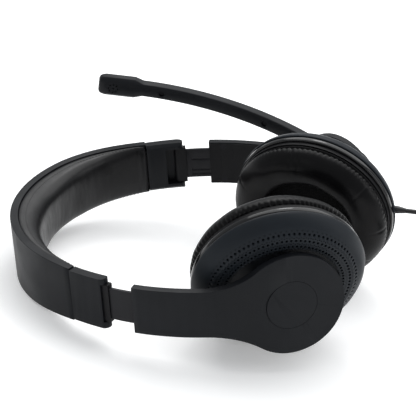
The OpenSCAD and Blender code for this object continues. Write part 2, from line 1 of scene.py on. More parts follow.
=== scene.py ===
"""Over-ear office headset on its side: the looks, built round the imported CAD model."""

import json
import math

import bmesh
import bpy
import numpy as np
from mathutils import Matrix, Vector, noise

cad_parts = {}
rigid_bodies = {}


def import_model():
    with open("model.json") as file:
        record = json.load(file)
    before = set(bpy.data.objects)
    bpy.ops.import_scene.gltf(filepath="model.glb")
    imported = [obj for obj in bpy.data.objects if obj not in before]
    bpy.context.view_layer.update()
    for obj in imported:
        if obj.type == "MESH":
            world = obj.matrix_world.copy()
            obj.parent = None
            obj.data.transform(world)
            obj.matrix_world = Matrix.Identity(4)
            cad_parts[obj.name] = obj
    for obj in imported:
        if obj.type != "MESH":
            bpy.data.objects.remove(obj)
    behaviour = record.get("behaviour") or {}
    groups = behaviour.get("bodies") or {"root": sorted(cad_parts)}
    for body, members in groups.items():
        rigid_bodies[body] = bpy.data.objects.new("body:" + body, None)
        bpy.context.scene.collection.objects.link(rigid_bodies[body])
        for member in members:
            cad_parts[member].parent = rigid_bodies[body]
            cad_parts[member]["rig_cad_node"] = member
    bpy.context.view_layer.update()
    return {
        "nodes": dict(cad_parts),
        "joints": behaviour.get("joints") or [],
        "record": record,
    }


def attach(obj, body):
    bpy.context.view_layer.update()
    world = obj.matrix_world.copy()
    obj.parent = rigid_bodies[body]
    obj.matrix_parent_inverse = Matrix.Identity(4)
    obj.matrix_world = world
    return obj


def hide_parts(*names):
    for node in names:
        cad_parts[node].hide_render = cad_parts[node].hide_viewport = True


MM = 0.001
SIDES = ("right", "left")

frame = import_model()
joints = {j["name"]: j for j in frame["joints"]}
nodes = frame["nodes"]
scene = bpy.context.scene

# ---- camera ------------------------------------------------------------------------------------

CAMERA = dict(target=(0.0031, -0.0051, 0.0425), distance=0.899, azimuth=10.46, elevation=25.06,
              roll=7.59, lens=156.4)


def make_camera(target, distance, azimuth, elevation, roll, lens):
    """A camera that looks at target from an azimuth and an elevation, tipped by roll degrees."""
    a, e = math.radians(azimuth), math.radians(elevation)
    back = Vector((math.sin(a) * math.cos(e), -math.cos(a) * math.cos(e), math.sin(e)))
    data = bpy.data.cameras.new("camera")
    data.lens = lens
    data.sensor_width = 36
    data.clip_start = 0.05
    camera = bpy.data.objects.new("camera", data)
    turn = back.to_track_quat("Z", "Y").to_matrix().to_4x4()
    camera.matrix_world = (Matrix.Translation(Vector(target) + back * distance) @ turn
                           @ Matrix.Rotation(math.radians(roll), 4, "Z"))
    scene.collection.objects.link(camera)
    scene.camera = camera


make_camera(**CAMERA)

# ---- building helpers --------------------------------------------------------------------------


def add_object(name, data):
    piece = bpy.data.objects.new(name, data)
    scene.collection.objects.link(piece)
    return piece


def mesh_piece(name, points, faces, matrix, smooth=True):
    """A piece from points in millimetres, which a matrix takes to their place in the row frame."""
    mesh = bpy.data.meshes.new(name)
    mesh.from_pydata([matrix @ (Vector(p) * MM) for p in points], [], faces)
    mesh.validate()
    if smooth:
        mesh.shade_smooth()
    return add_object(name, mesh)


def grid_faces(rows, columns, close_rows=False, close_columns=False):
    """Quads over a grid of points stored row by row."""
    faces = []
    for i in range(rows if close_rows else rows - 1):
        for j in range(columns if close_columns else columns - 1):
            i2, j2 = (i + 1) % rows, (j + 1) % columns
            faces.append((i * columns + j, i * columns + j2, i2 * columns + j2, i2 * columns + j))
    return faces


def lathe(name, profile, matrix, steps):
    """Turns a closed profile of (radius, height) about the matrix's Z axis."""
    points = []
    for k in range(steps):
        a = 2 * math.pi * k / steps
        points += [(r * math.cos(a), r * math.sin(a), z) for r, z in profile]
    return mesh_piece(name, points, grid_faces(steps, len(profile), True, True), matrix)


def rounded(corners, radius, steps):
    """The closed outline through corners, each rounded by an arc."""
    out = []
    count = len(corners)
    for i, corner in enumerate(corners):
        p = Vector(corner)
        before, after = Vector(corners[i - 1]) - p, Vector(corners[(i + 1) % count]) - p
        reach = min(radius, before.length * 0.45, after.length * 0.45)
        a, b = p + before.normalized() * reach, p + after.normalized() * reach
        for k in range(steps + 1):
            t = k / steps
            out.append(tuple(a * (1 - t) ** 2 + p * 2 * t * (1 - t) + b * t * t))
    return out


def catmull(points, steps):
    """A smooth line through points."""
    pts = [Vector(p) for p in points]
    pts = [2 * pts[0] - pts[1]] + pts + [2 * pts[-1] - pts[-2]]
    out = []
    for i in range(1, len(pts) - 2):
        p0, p1, p2, p3 = pts[i - 1:i + 3]
        for k in range(steps):
            t = k / steps
            out.append(0.5 * (2 * p1 + (p2 - p0) * t + (2 * p0 - 5 * p1 + 4 * p2 - p3) * t * t
                              + (3 * p1 - p0 - 3 * p2 + p3) * t ** 3))
    return out + [pts[-2]]


def recalculate(piece):
    mesh = bmesh.new()
    mesh.from_mesh(piece.data)
    bmesh.ops.recalc_face_normals(mesh, faces=mesh.faces)
    mesh.to_mesh(piece.data)
    mesh.free()


def apply_modifiers(piece):
    """Makes a piece's modifiers part of its mesh."""
    bpy.context.view_layer.update()
    made = bpy.data.meshes.new_from_object(piece.evaluated_get(bpy.context.evaluated_depsgraph_get()))
    piece.modifiers.clear()
    piece.data = made


# ---- places worked out from the joints ---------------------------------------------------------

CROWN_R, CROWN_ANGLE, SIDE_R, HINGE_SLOPE, ARM_R, DISC_SLOPE, DISC_FLAT = 71, 57, 128, 16, 109, 30, 2
PIVOT_DEPTH, CUP_DEPTH = 12.5, 24.2
CUP_TOP = CUP_DEPTH - PIVOT_DEPTH


def step_along(start, radius, slope_from, slope_to):
    """The end of an arc of the headset's outer line, which turns from one slope to another."""
    a, b = math.radians(slope_from), math.radians(slope_to)
    return Vector(start) + radius * Vector((math.sin(a) - math.sin(b), math.cos(b) - math.cos(a)))


shoulder = step_along((0, 0), CROWN_R, 90, 90 - CROWN_ANGLE)
arm_start = step_along(shoulder, SIDE_R, 90 - CROWN_ANGLE, HINGE_SLOPE)
disc_centre = step_along(arm_start, ARM_R, HINGE_SLOPE, -DISC_SLOPE)
disc_turn = math.radians(DISC_SLOPE)
disc_centre += DISC_FLAT * Vector((math.cos(disc_turn), -math.sin(disc_turn)))
pivot = disc_centre - PIVOT_DEPTH * Vector((math.sin(disc_turn), math.cos(disc_turn)))

up = Vector(joints["fold_right"]["axis"]).normalized()
pivots = {s: Vector(joints["cup_tilt_" + s]["pos_m"]) for s in SIDES}
across = (pivots["left"] - pivots["right"]).normalized()
along = across.cross(up)


def axes_matrix(x, y, z, origin):
    return Matrix.Translation(origin) @ Matrix((x, y, z)).transposed().to_4x4()


HEAD = axes_matrix(along, across, up, (pivots["left"] + pivots["right"]) / 2 - along * pivot.x * MM)


def disc_matrix(side):
    """Origin on the disc's outer face, X away from the band, Z outwards."""
    out_y = across if side == "left" else -across
    a = math.radians(DISC_SLOPE)
    z = along * math.sin(a) + out_y * math.cos(a)
    x = along * math.cos(a) - out_y * math.sin(a)
    return axes_matrix(x, z.cross(x), z, pivots[side] + z * PIVOT_DEPTH * MM)


def cup_matrix(side):
    """Origin at the middle of the cup's rim, X away from the band, Z outwards."""
    ring = np.array([v.co for v in nodes["trim_ring_" + side].data.vertices])
    flat = Vector(np.linalg.svd(ring - ring.mean(0), full_matrices=False)[2][2])
    x = Vector(joints["cup_tilt_" + side]["axis"]).normalized()
    z = (flat - x * flat.dot(x)).normalized()
    if z.dot(across if side == "left" else -across) < 0:
        z = -z
    return axes_matrix(x, z.cross(x), z, pivots[side] - z * CUP_TOP * MM)


DISC = {s: disc_matrix(s) for s in SIDES}
CUP = {s: cup_matrix(s) for s in SIDES}

# ---- materials ---------------------------------------------------------------------------------


class Shader:
    """A node material with one Principled shader, built a step at a time."""

    def __init__(self, name, colour, roughness, **inputs):
        self.material = bpy.data.materials.new(name)
        self.material.use_nodes = True
        self.tree = self.material.node_tree
        self.shader = self.tree.nodes["Principled BSDF"]
        self.coords = self.tree.nodes.new("ShaderNodeTexCoord").outputs["Object"]
        self.colour = colour
        self.normal = None
        self.shader.inputs["Base Color"].default_value = (*colour, 1)
        self.shader.inputs["Roughness"].default_value = roughness
        for key, value in inputs.items():
            self.shader.inputs[key.replace("_", " ")].default_value = value

    def node(self, kind, **inputs):
        made = self.tree.nodes.new("ShaderNode" + kind)
        for key, value in inputs.items():
            socket = made.inputs[key.replace("_", " ")]
            if isinstance(value, bpy.types.NodeSocket):
                self.tree.links.new(value, socket)
            else:
                socket.default_value = value
        return made

    def grain(self, size, detail=2.0):
        """Noise whose blobs are about size millimetres across."""
        made = self.node("TexNoise", Vector=self.coords, Scale=0.5 / (size * MM), Detail=detail)
        return made.outputs["Fac"]

    def cells(self, size):
        """Rounded cells about size millimetres across."""
        made = self.node("TexVoronoi", Vector=self.coords, Scale=1 / (size * MM))
        return made.outputs["Distance"]

    def vary(self, factor, low, high):
        """Mixes the base colour between low and high shares of itself."""
        ramp = self.node("MapRange", Value=factor, From_Min=0.3, From_Max=0.7, To_Min=low, To_Max=high)
        mix = self.node("VectorMath")
        mix.operation = "SCALE"
        mix.inputs[0].default_value = self.colour
        self.tree.links.new(ramp.outputs[0], mix.inputs["Scale"])
        self.tree.links.new(mix.outputs[0], self.shader.inputs["Base Color"])
        return self

    def polish(self, factor, low, high):
        """Varies the roughness."""
        ramp = self.node("MapRange", Value=factor, From_Min=0.3, From_Max=0.7, To_Min=low, To_Max=high)
        self.tree.links.new(ramp.outputs[0], self.shader.inputs["Roughness"])
        return self

    def bump(self, height, depth, strength=1.0):
        """Adds relief of depth millimetres."""
        made = self.node("Bump", Height=height, Distance=depth * MM, Strength=strength)
        if self.normal:
            self.tree.links.new(self.normal, made.inputs["Normal"])
        self.normal = made.outputs["Normal"]
        self.tree.links.new(self.normal, self.shader.inputs["Normal"])
        return self


def moulded(name, colour, roughness=0.5, grain=0.25, depth=0.02):
    """Moulded plastic with a fine spark-eroded grain and faint handling marks."""
    s = Shader(name, colour, roughness, Specular_IOR_Level=0.16)
    s.vary(s.grain(14, 4), 0.86, 1.14)
    s.polish(s.grain(9, 3), roughness - 0.06, roughness + 0.06)
    return s.bump(s.grain(grain), depth).material


def leatherette(name, colour, gloss):
    s = Shader(name, colour, 0.36, Specular_IOR_Level=gloss, Coat_Weight=0.1, Coat_Roughness=0.2)
    s.vary(s.grain(10, 4), 0.8, 1.25)
    s.polish(s.grain(5, 3), 0.3, 0.44)
    s.bump(s.cells(0.55), 0.035)
    return s.bump(s.grain(3.5, 3), 0.12, 0.6).material


def polished(name, colour, roughness=0.14):
    s = Shader(name, colour, roughness, Specular_IOR_Level=0.3, Coat_Weight=0.15, Coat_Roughness=0.06)
    s.vary(s.grain(20), 0.9, 1.1)
    return s.bump(s.grain(6, 1), 0.01, 0.4).material


def turned_metal(name, colour, roughness=0.3):
    s = Shader(name, colour, roughness, Metallic=1.0)
    s.polish(s.grain(0.6, 3), roughness - 0.08, roughness + 0.1)
    s.vary(s.grain(3, 2), 0.9, 1.08)
    return s.bump(s.grain(0.12, 2), 0.006).material


def cloth(name, colour, pitch=0.5):
    """Open-weave cloth."""
    s = Shader(name, colour, 0.9, Sheen_Weight=0.03, Specular_IOR_Level=0.1)
    threads = []
    for axis in ("X", "Y"):
        wave = s.node("TexWave", Vector=s.coords, Scale=1 / (pitch * MM) / 6.28, Distortion=0.3)
        wave.bands_direction = axis
        threads.append(wave.outputs["Fac"])
    both = s.node("Math")
    both.operation = "MULTIPLY"
    for k in (0, 1):
        s.tree.links.new(threads[k], both.inputs[k])
    s.vary(both.outputs[0], 0.5, 1.6)
    return s.bump(both.outputs[0], 0.15).material


def rubbery(name, colour, roughness=0.5):
    s = Shader(name, colour, roughness)
    s.vary(s.grain(4, 3), 0.85, 1.2)
    return s.bump(s.grain(0.3, 3), 0.015).material


MATERIALS = {
    "soft_plastic": moulded("soft_plastic", (0.006, 0.0069, 0.0088), 0.46),
    "black_plastic": moulded("black_plastic", (0.005, 0.005, 0.006), 0.5),
    "strip_plastic": moulded("strip_plastic", (0.012, 0.012, 0.014), 0.4, 0.4, 0.01),
    "spring_steel": turned_metal("spring_steel", (0.5, 0.5, 0.52)),
    "bright_steel": turned_metal("bright_steel", (0.6, 0.6, 0.61), 0.25),
    "dark_steel": turned_metal("dark_steel", (0.018, 0.018, 0.02), 0.45),
    "leatherette": leatherette("leatherette", (0.0036, 0.0035, 0.0042), 0.22),
    # a darker, less glossy copy of the leatherette for the ear pads: its darker colour is painted shade
    "ear_leatherette_painted_shade": leatherette("ear_leatherette_painted_shade", (0.0026, 0.0025, 0.0029), 0.07),
    "cup_plastic": moulded("cup_plastic", (0.0095, 0.0125, 0.0165), 0.48),
    "gloss_black": polished("gloss_black", (0.004, 0.004, 0.0045)),
    "driver_frame": moulded("driver_frame", (0.03, 0.03, 0.032)),
    "magnet": turned_metal("magnet", (0.35, 0.36, 0.38)),
    "diaphragm": polished("diaphragm", (0.5, 0.48, 0.44), 0.3),
    # the speaker cloth is black, and its colour is darkened further as painted shade in the cup's opening
    "scrim_cloth": cloth("scrim_cloth", (0.001, 0.001, 0.0012)),
    "circuit_board": polished("circuit_board", (0.01, 0.08, 0.03), 0.35),
    "capsule_can": turned_metal("capsule_can", (0.55, 0.55, 0.57)),
    "wire_insulation": rubbery("wire_insulation", (0.25, 0.02, 0.018)),
    "cord_rubber": rubbery("cord_rubber", (0.009, 0.009, 0.01), 0.42),
    "thread": rubbery("thread", (0.006, 0.006, 0.007), 0.6),
    "plug_contact": turned_metal("plug_contact", (0.83, 0.62, 0.28), 0.18),
}


def finish_with(piece, slot):
    """Gives a piece the material of a slot of the record."""
    piece.data.materials.clear()
    piece.data.materials.append(MATERIALS[slot])
    return piece


def place(piece, body, slot, *replaced):
    """A finished piece rides on its body and stands for the CAD nodes it replaces."""
    finish_with(piece, slot)
    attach(piece, body)
    if replaced:
        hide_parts(*replaced)
    return piece


# ---- CAD nodes that keep their shape: soft edges and materials ----------------------------------

SOFT_EDGES = {"headband_shell": 0.22, "hinge_housing": 0.22, "knuckle": 0.35, "slider_strip": 0.2,
              "arm_cover": 0.6, "arm_inner": 0.25, "pivot_cap": 0.25, "strain_relief": 0.2, "cord_tie": 0.15}


def soften(piece, width):
    """Rounds a CAD node's edges with modifiers, which leave its mesh as it is."""
    weld = piece.modifiers.new("weld", "WELD")
    weld.merge_threshold = 0.002 * MM
    bevel = piece.modifiers.new("bevel", "BEVEL")
    bevel.width = width * MM
    bevel.segments = 3
    bevel.limit_method = "ANGLE"
    bevel.angle_limit = math.radians(35)
    bevel.use_clamp_overlap = True
    bevel.harden_normals = True


# steel parts given a dark steel colour as painted shade, where they would show through a gap
GAP_SHADED_STEEL = ("slider_stop", "headband_spring", "spring_rivets", "boom_screws")
node_slots = {p["node"]: p["material_slot"] for p in frame["record"]["subparts"]}
for node_name, node_object in nodes.items():
    finish_with(node_object, "dark_steel" if node_name.startswith(GAP_SHADED_STEEL) else node_slots[node_name])
    for start, edge in SOFT_EDGES.items():
        if node_name.startswith(start):
            soften(node_object, edge)

# ---- ear cups ----------------------------------------------------------------------------------

HOLE_ROWS = (35.45, 32.2, 28.95)
ROW_PITCH = 3.25
HOLE_R = 0.6
HOLES_ROUND = 92
HOLE_DEPTH = 1.5
CELL_RING = 16
CUP_BACK = [(27.3, 10.3), (28.4, 10.45), (31, 10.05), (34.2, 9.55), (36.6, 8.05), (38.6, 6.8),
            (39.9, 5.05), (40.8, 3.8), (41.5, 1.95), (41.8, 1.0)]
CUP_INSIDE = [(40.0, 0), (39.9, 0.6), (39.2, 3.2), (37.4, 5.4), (33.4, 7.9), (29.1, 8.5), (29.1, 5.1),
              (16.8, 5.1), (16.8, 2.1), (0.4, 2.1)]
# the back is dished under the arm's disc, with the gimbal's well in the middle
CUP_BOWL = [(27.3, 10.1), (27.06, 7.3), (26.85, 7.15), (15.2, 7.2), (14.8, 6.9),
            (14.8, 4.4), (14.4, 3.9), (0.4, 3.9)]


def cup_height(r):
    radii, heights = zip(*CUP_BACK)
    return float(np.interp(r, radii, heights))


def hole_cells(points, faces):
    """Three rows of real holes through the cup's back: square cells, each with a round hole and its wall."""
    half = math.pi / HOLES_ROUND
    for row, middle in enumerate(HOLE_ROWS):
        for cell in range(HOLES_ROUND):
            centre = (cell + 0.5 * (row % 2)) * 2 * half
            start = len(points)
            rings = [(None, 0), (HOLE_R + 0.08, 0), (HOLE_R, 0.08), (HOLE_R, HOLE_DEPTH)]
            for radius, down in rings:
                for k in range(CELL_RING):
                    t = 2 * math.pi * (k + 0.5) / CELL_RING
                    c, s = math.cos(t), math.sin(t)
                    if radius is None:
                        big = max(abs(c), abs(s))
                        r, a = middle + ROW_PITCH / 2 * c / big, centre + half * s / big
                    else:
                        r, a = middle + radius * c, centre + radius * s / middle
                    points.append((r * math.cos(a), r * math.sin(a), cup_height(r) - down))
            for level in range(len(rings) - 1):
                a, b = start + level * CELL_RING, start + (level + 1) * CELL_RING
                for k in range(CELL_RING):
                    n = (k + 1) % CELL_RING
                    faces.append((a + k, a + n, b + n, b + k))
            faces.append(tuple(start + (len(rings) - 1) * CELL_RING + k for k in range(CELL_RING)))


def turned(points, faces, profile, steps):
    """Adds a turned surface to a list of points and faces."""
    start = len(points)
    for k in range(steps):
        a = 2 * math.pi * (k + 0.5) / steps
        points.extend((r * math.cos(a), r * math.sin(a), z) for r, z in profile)
    faces.extend(tuple(start + i for i in f) for f in grid_faces(steps, len(profile), True))


def block(points, faces, low, high):
    start = len(points)
    points.extend((x, y, z) for x in (low[0], high[0]) for y in (low[1], high[1]) for z in (low[2], high[2]))
    faces.extend(tuple(start + i for i in f) for f in
                 ((0, 1, 3, 2), (4, 6, 7, 5), (0, 4, 5, 1), (2, 3, 7, 6), (0, 2, 6, 4), (1, 5, 7, 3)))


def make_cup(side):
    points, faces = [], []
    steps = HOLES_ROUND * 2
    inner_edge, outer_edge = HOLE_ROWS[-1] - ROW_PITCH / 2, HOLE_ROWS[0] + ROW_PITCH / 2
    hole_cells(points, faces)
    outside = [(outer_edge, cup_height(outer_edge))] + [p for p in CUP_BACK if p[0] > outer_edge]
    turned(points, faces, outside + [(41.8, 0.3), (41.6, 0), *CUP_INSIDE], steps)
    turned(points, faces, [(inner_edge, cup_height(inner_edge)), *CUP_BOWL, CUP_INSIDE[-1]], steps)
    for low in (6, -10.5):
        block(points, faces, (low, -2.9, 3.4), (low + 4.5, 2.9, 14.6))
    cup = mesh_piece("cup_back_" + side, points, faces, CUP[side])
    mesh = bmesh.new()
    mesh.from_mesh(cup.data)
    bmesh.ops.remove_doubles(mesh, verts=mesh.verts, dist=0.004 * MM)
    bmesh.ops.recalc_face_normals(mesh, faces=mesh.faces)
    mesh.to_mesh(cup.data)
    mesh.free()
    cup.data.set_sharp_from_angle(angle=math.radians(40))
    place(cup, "cup_" + side, "cup_plastic", "cup_shell_" + side)
    ring = rounded([(39.3, -3.15), (41.35, -3.15), (41.55, -1.6), (41.3, -0.1), (39.3, -0.1)], 0.9, 5)
    trim = lathe("rim_trim_" + side, ring, CUP[side], 220)
    place(trim, "cup_" + side, "gloss_black", "trim_ring_" + side)


# an ear pad's section, as (radius, height): from the back's inner edge out to the skirt, over the
# stitched groove to the gathered edge, across the face and down into the opening
PAD_SECTION = [(24.0, -5.35), (30, -5.3), (37.2, -5.3), (39.2, -5.4), (39.6, -5.65), (39.7, -6.0),
               (39.4, -6.35), (39.05, -6.6), (38.85, -6.8), (39.2, -7.1), (39.9, -7.7), (40.3, -8.7),
               (40.1, -10.3), (39.4, -12.0), (38.2, -13.8), (36.5, -15.5), (34.5, -16.8), (32.3, -17.7),
               (30.0, -18.0), (27.7, -17.7), (25.6, -16.9), (24.0, -15.7), (22.9, -14.1), (22.2, -12.2),
               (21.8, -10.2), (21.7, -8.3), (21.9, -6.9), (22.4, -6.0), (24.0, -5.95), (24.0, -5.35)]
SEAM_INDEX = 8
GATHERS = 96
HOLE_GATHERS = 34


def ridge(angle, count, seed):
    """Round ridges between sharp creases, uneven round the ring, and how strong each one is."""
    x, y = math.cos(angle), math.sin(angle)
    shift = 0.75 * noise.noise(Vector((x * 2.2 + seed, y * 2.2, 0.3)))
    t = angle / (2 * math.pi) * count + shift * 2
    strength = 0.35 + 0.9 * abs(noise.noise(Vector((x * 7, y * 7 + seed, 1.7))))
    return abs(math.sin(math.pi * t)) ** 0.75, strength


def pinch(angle, seed):
    """A few sharp creases that run in from the gathered edge."""
    depth = 0.0
    for k in range(9):
        at = 2 * math.pi * (k + 0.8 * noise.noise(Vector((k * 1.3, seed, 0.5)))) / 9
        away = (angle - at + math.pi) % (2 * math.pi) - math.pi
        depth -= (0.5 + 0.5 * noise.noise(Vector((k * 2.1, 3.0, seed)))) * math.exp(-(away / 0.022) ** 2)
    return depth


def make_ear_pad(side, seed):
    section = catmull([(r, 0, z) for r, z in PAD_SECTION], 2)
    section = [(p.x, p.z) for p in section]
    lengths = np.concatenate([[0], np.cumsum([math.dist(a, b) for a, b in zip(section, section[1:])])])
    around = lengths[-1]
    section.pop()
    seam_at = lengths[2 * SEAM_INDEX]
    steps = GATHERS * 7
    points = []
    centre = Vector((30.5, -12.0))
    for k in range(steps):
        angle = 2 * math.pi * k / steps
        c, s = math.cos(angle), math.sin(angle)
        fold, strength = ridge(angle, GATHERS, seed)
        hole_fold, hole_strength = ridge(angle, HOLE_GATHERS, seed + 5)
        crease = pinch(angle, seed)
        for (r, z), length in zip(section, lengths):
            past = length - seam_at
            out = (Vector((r, z)) - centre).normalized()
            lift = 0.0
            if past > 0.4:
                reach = 0.9 + 1.5 * strength
                lift += (0.42 + 0.5 * strength) * (fold - 0.7) * math.exp(-(max(past - 1.3, 0) / reach) ** 2)
                lift += 0.5 * crease * math.exp(-((past - 6) / 6) ** 2)
                lift += 0.34 * noise.noise(Vector((r * c, r * s, z + 9 * seed)) / 11)
                from_hole = around - 3.2 - length
                if from_hole < 15:
                    lift += 0.4 * hole_strength * (hole_fold - 0.7) * math.exp(-(from_hole / 8) ** 2)
            elif past < -1.2 and r > 38:
                lift += 0.07 * noise.noise(Vector((r * c, r * s, z)) / 4)
            r2, z2 = Vector((r, z)) + out * lift
            points.append((r2 * c, r2 * s, z2))
    pad = mesh_piece("ear_cushion_" + side, points, grid_faces(steps, len(section), True, True), CUP[side])
    place(pad, "cup_" + side, "leatherette", "ear_pad_" + side)
    # the ear pads take the darker copy of the leatherette, whose darker colour is painted shade
    pad.data.materials[0] = MATERIALS["ear_leatherette_painted_shade"]


SCRIM_R = 23.3


def make_scrim(side):
    """The stretched cloth over the speaker, a little crowned."""
    crown = [(r, -5.75 - 0.5 * (1 - (r / 22) ** 2)) for r in (22, 18, 14, 10, 6, 2, 0.2)]
    profile = [(SCRIM_R, -5.45), *crown]
    scrim = lathe("speaker_cloth_" + side, profile, Matrix.Identity(4), 96)
    scrim.matrix_world = CUP[side]  # the weave lies along the cloth's own axes
    place(scrim, "cup_" + side, "scrim_cloth", "scrim_" + side)


for number, side in enumerate(SIDES):
    make_cup(side)
    make_ear_pad(side, number + 1)
    make_scrim(side)

# ---- headband cushion --------------------------------------------------------------------------

PAD_BACK = 4.3
PAD_FACE_CENTRE, PAD_FACE_R = 91.8, 75.3
PAD_END_X = 46.7
BAND_HALF, END_HALF, TAPER_FROM = 15.5, 13.25, 12
STITCH_PITCH, STITCH_L, STITCH_R = 2.1, 1.45, 0.17


def outer_line(distance):
    """A point of the band's outer line and its inward normal, at a signed distance from the crown."""
    sign = 1 if distance >= 0 else -1
    length = abs(distance)
    crown = math.radians(CROWN_ANGLE) * CROWN_R
    a = length / CROWN_R if length <= crown else math.radians(CROWN_ANGLE) + (length - crown) / SIDE_R
    normal = Vector((math.cos(a), -math.sin(a)))
    if length <= crown:
        point = Vector((CROWN_R, 0)) - CROWN_R * normal
    else:
        turn = math.radians(CROWN_ANGLE)
        point = shoulder + SIDE_R * (Vector((math.cos(turn), -math.sin(turn))) - normal)
    return Vector((point.x, sign * point.y)), Vector((normal.x, sign * normal.y))


def band_half(x):
    return float(np.interp(x, [TAPER_FROM, arm_start.x], [BAND_HALF, END_HALF]))


def face_depth(point, normal):
    """How deep under the outer line the cushion's face lies."""
    to = point - Vector((PAD_FACE_CENTRE, 0))
    b, c = to.dot(normal), to.length_squared - PAD_FACE_R ** 2
    return -b - math.sqrt(max(b * b - c, 0))


PAD_HALF_LENGTH = next(d for d in np.arange(60, 130, 0.2) if outer_line(d)[0].x > PAD_END_X)


def cushion_point(distance, t, grow=0.0):
    """A point of the headband cushion: t = 0 is the middle of its face, a quarter turn its upper edge."""
    point, normal = outer_line(distance)
    end = max(0.0, 1 - (PAD_HALF_LENGTH - abs(distance)) / 4.5)
    deep = max(face_depth(point, normal), PAD_BACK + 2.4)
    thick = (deep - PAD_BACK) * (1 - 0.45 * end ** 2.5)
    half = (band_half(point.x) - 0.62) * (1 - 0.03 * end * end)
    c, s = math.cos(t), math.sin(t)
    z = (half + grow) * math.copysign(abs(s) ** 0.6, s)
    if c > 0:
        depth = PAD_BACK + (thick + grow) * c ** 0.72
        inward = 1 - (z / half) ** 4
        swell = 0.3 * noise.noise(Vector((distance / 13, z / 16, 2)))
        wrinkle = 0.09 * noise.noise(Vector((distance / 3, z / 8, 5)))
        depth += (swell + wrinkle) * max(inward, 0)
        pucker = math.exp(-((PAD_HALF_LENGTH - abs(distance)) / 7) ** 2) * abs(s) ** 1.5
        depth -= 0.55 * pucker * (0.5 + 0.5 * math.cos(distance * 2.1 + 3 * z / half)) * c
    else:
        depth = PAD_BACK + 0.5 * c
    at = point + normal * depth
    return Vector((at.x, at.y, z))


def make_headband_pad():
    stations, around = 200, 80
    points = []
    for i in range(stations + 1):
        u = -1 + 2 * i / stations
        distance = PAD_HALF_LENGTH * math.copysign(1 - (1 - abs(u)) ** 1.2, u)
        points += [cushion_point(distance, 2 * math.pi * k / around) for k in range(around)]
    faces = grid_faces(stations + 1, around, close_columns=True)
    faces += [tuple(range(around)), tuple(stations * around + k for k in reversed(range(around)))]
    pad = mesh_piece("headband_cushion", points, faces, HEAD)
    place(pad, "headband", "leatherette", "headband_pad")
    points, faces = [], []
    count = int(PAD_HALF_LENGTH / STITCH_PITCH)
    for edge in (-1, 1):
        turn = edge * math.radians(79)
        for k in range(-count, count + 1):
            a, b = (cushion_point(k * STITCH_PITCH + m * STITCH_L / 2, turn, 0.02) for m in (-1, 1))
            add_stitch(points, faces, a, b)
    thread = mesh_piece("headband_stitches", points, faces, HEAD)
    finish_with(thread, "leatherette")
    thread.data.materials[0] = MATERIALS["thread"]
    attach(thread, "headband")


def add_stitch(points, faces, a, b):
    """One stitch: a short thread that dips at both ends."""
    forward = (b - a).normalized()
    side_way = forward.cross(Vector((0, 0, 1))).normalized()
    other = forward.cross(side_way)
    rings, around = 5, 6
    start = len(points)
    for i in range(rings):
        t = i / (rings - 1)
        radius = STITCH_R * math.sqrt(max(0.08, 1 - (2 * t - 1) ** 2))
        for k in range(around):
            w = 2 * math.pi * k / around
            points.append(a.lerp(b, t) + (side_way * math.cos(w) + other * math.sin(w)) * radius)
    faces += [tuple(start + n for n in f) for f in grid_faces(rings, around, close_columns=True)]
    faces += [tuple(start + k for k in range(around)),
              tuple(start + (rings - 1) * around + k for k in reversed(range(around)))]


make_headband_pad()

# ---- boom --------------------------------------------------------------------------------------

BOOM_ANGLE, BOOM_ROOT, BOOM_R, BOOM_BEND, BOOM_Z, BOOM_W, BOOM_T = 15, 20, 150, 43, 11.5, 7.6, 5.4
MIC_L, MIC_W, MIC_T, MIC_AT = 20, 11.6, 7.4, 12
HUB_R, HUB_LOW, HUB_HIGH = 12.3, 0.3, 14.6
BOOM_SCREWS = (58, 118)


def boom_matrix():
    frame_left = DISC["left"]
    x_disc, z_disc = frame_left.col[0].xyz, frame_left.col[2].xyz
    a = math.radians(BOOM_ANGLE)
    x = up * math.sin(a) - x_disc * math.cos(a)
    return axes_matrix(x, z_disc.cross(x), z_disc, frame_left.translation)


BOOM = boom_matrix()


def boom_line(length):
    """A point of the boom's centre line, its forward and its outward direction."""
    if length <= BOOM_ROOT:
        return Vector((length, 0, BOOM_Z)), Vector((1, 0, 0)), Vector((0, 0, 1))
    a = min((length - BOOM_ROOT) / BOOM_R, math.radians(BOOM_BEND))
    forward, out = Vector((math.cos(a), 0, -math.sin(a))), Vector((math.sin(a), 0, math.cos(a)))
    past = length - BOOM_ROOT - a * BOOM_R
    return Vector((BOOM_ROOT, 0, BOOM_Z - BOOM_R)) + out * BOOM_R + forward * past, forward, out


BOOM_L = BOOM_ROOT + math.radians(BOOM_BEND) * BOOM_R


def section(width, thick, chamfer):
    """A bar's section with straight chamfers, two points close together at each end of a chamfer."""
    w, t, c = width / 2, thick / 2, chamfer
    corner = [(w, t - c * 1.12), (w - c * 0.08, t - c * 0.92),
              (w - c * 0.92, t - c * 0.08), (w - c * 1.12, t)]
    left = [(-y, z) for y, z in reversed(corner)]
    return corner + left + [(-y, -z) for y, z in corner] + [(-y, -z) for y, z in left]


